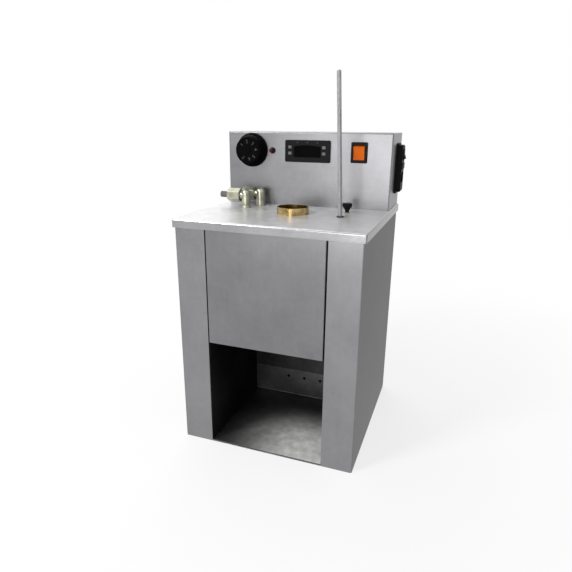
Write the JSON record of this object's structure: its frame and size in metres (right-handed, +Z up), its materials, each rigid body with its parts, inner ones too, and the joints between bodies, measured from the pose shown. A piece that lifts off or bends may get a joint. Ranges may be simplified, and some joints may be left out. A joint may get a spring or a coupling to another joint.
{
  "type": "bench laboratory instrument",
  "caption": "Redwood viscometer: a folded steel cabinet with a heated water bath, a brass oil cup, a stirrer, a thermometer and a control box with dial and rocker switch.",
  "frame": {"origin": "centre of the base plate's underside, where the cabinet rests on the bench", "axes": "X to the operator's right, Y from the operator towards the back, Z up"},
  "size_m": [0.2968, 0.2854, 0.5678],
  "materials": {
    "stainless": "brushed",
    "dark_steel": "satin",
    "bright_steel": "polished",
    "chrome": "polished",
    "brass": "polished",
    "agate": "gloss",
    "mercury": "polished",
    "glass": "clear",
    "black_rubber": "matte",
    "black_plastic": "satin",
    "grey_plastic": "matte",
    "dark_window": "gloss",
    "red_lens": "gloss",
    "orange_rocker": "gloss"
  },
  "bodies": {
    "cabinet": {"side_shell_left": "stainless", "side_shell_right": "stainless", "base_plate": "stainless", "rear_cover": "stainless", "cover_screws": "bright_steel", "chamber_side_left": "dark_steel", "chamber_side_right": "dark_steel", "chamber_back": "dark_steel", "chamber_floor": "stainless", "front_panel": "stainless", "top_plate": "stainless", "bath_tank": "stainless", "bath_gasket": "black_rubber", "bath_studs": "bright_steel", "bath_nuts": "bright_steel", "oil_cup": "brass", "level_pointer": "brass", "cup_washer": "black_rubber", "cup_gland_nut": "brass", "agate_jet": "agate", "heater_element": "bright_steel", "heater_glands": "brass", "heater_nuts": "brass", "sensor_probe": "bright_steel", "sensor_gland": "brass", "cooling_loop": "bright_steel", "hose_elbows": "chrome", "elbow_back_nuts": "chrome", "union_nuts": "chrome", "hose_tails": "black_plastic", "stirrer_bush": "brass", "thermometer_grommet": "black_rubber", "control_box": "stainless", "control_box_back": "stainless", "regulator_body": "black_plastic", "pilot_lamp_body": "chrome", "pilot_lamp_lens": "red_lens", "controller_case": "black_plastic", "controller_window": "dark_window", "controller_brackets": "black_plastic", "switch_body": "black_plastic", "inlet_body": "black_plastic", "inlet_pins": "bright_steel", "terminal_block": "grey_plastic"},
    "dial": {"regulator_shaft": "bright_steel", "dial_knob": "black_plastic"},
    "panel_switch": {"switch_rocker": "orange_rocker"},
    "mains_switch": {"inlet_rocker": "black_plastic"},
    "fuse_holder": {"fuse_drawer": "black_plastic"},
    "button_high_left": {"button_high_left": "grey_plastic"},
    "button_high_right": {"button_high_right": "grey_plastic"},
    "button_low_left": {"button_low_left": "grey_plastic"},
    "button_low_right": {"button_low_right": "grey_plastic"},
    "stirrer": {"stirrer_knob": "black_plastic", "stirrer_shaft": "bright_steel", "stirrer_paddle": "brass", "stirrer_collar": "brass"},
    "thermometer": {"thermometer_glass": "glass", "thermometer_column": "mercury"}
  },
  "joints": [
    {"name": "dial_turn", "type": "hinge", "parent": "cabinet", "child": "dial", "pos_m": [-0.0958, 0.046, 0.4535], "axis": [0, 1, 0], "range_deg": [0, 315]},
    {"name": "panel_switch_rock", "type": "hinge", "parent": "cabinet", "child": "panel_switch", "pos_m": [0.0877, 0.04996, 0.4535], "axis": [-1, 0, 0], "range_deg": [0, 20]},
    {"name": "mains_switch_rock", "type": "hinge", "parent": "cabinet", "child": "mains_switch", "pos_m": [0.14516, 0.103, 0.4493], "axis": [0, 1, 0], "range_deg": [0, 20]},
    {"name": "fuse_drawer_slide", "type": "slide", "parent": "cabinet", "child": "fuse_holder", "axis": [1, 0, 0], "range_m": [0, 0.018]},
    {"name": "press_high_left", "type": "slide", "parent": "cabinet", "child": "button_high_left", "axis": [0, 1, 0], "range_m": [0, 0.0008], "stiffness_N_per_m": 400},
    {"name": "press_high_right", "type": "slide", "parent": "cabinet", "child": "button_high_right", "axis": [0, 1, 0], "range_m": [0, 0.0008], "stiffness_N_per_m": 400},
    {"name": "press_low_left", "type": "slide", "parent": "cabinet", "child": "button_low_left", "axis": [0, 1, 0], "range_m": [0, 0.0008], "stiffness_N_per_m": 400},
    {"name": "press_low_right", "type": "slide", "parent": "cabinet", "child": "button_low_right", "axis": [0, 1, 0], "range_m": [0, 0.0008], "stiffness_N_per_m": 400},
    {"name": "stirrer_turn", "type": "hinge", "parent": "cabinet", "child": "stirrer", "pos_m": [0.0815, 0.006, 0.365], "axis": [0, 0, 1], "continuous": true},
    {"name": "thermometer_lift", "type": "slide", "parent": "cabinet", "child": "thermometer", "axis": [-0.0506, 0, 0.9987], "range_m": [0, 0.07]}
  ]
}
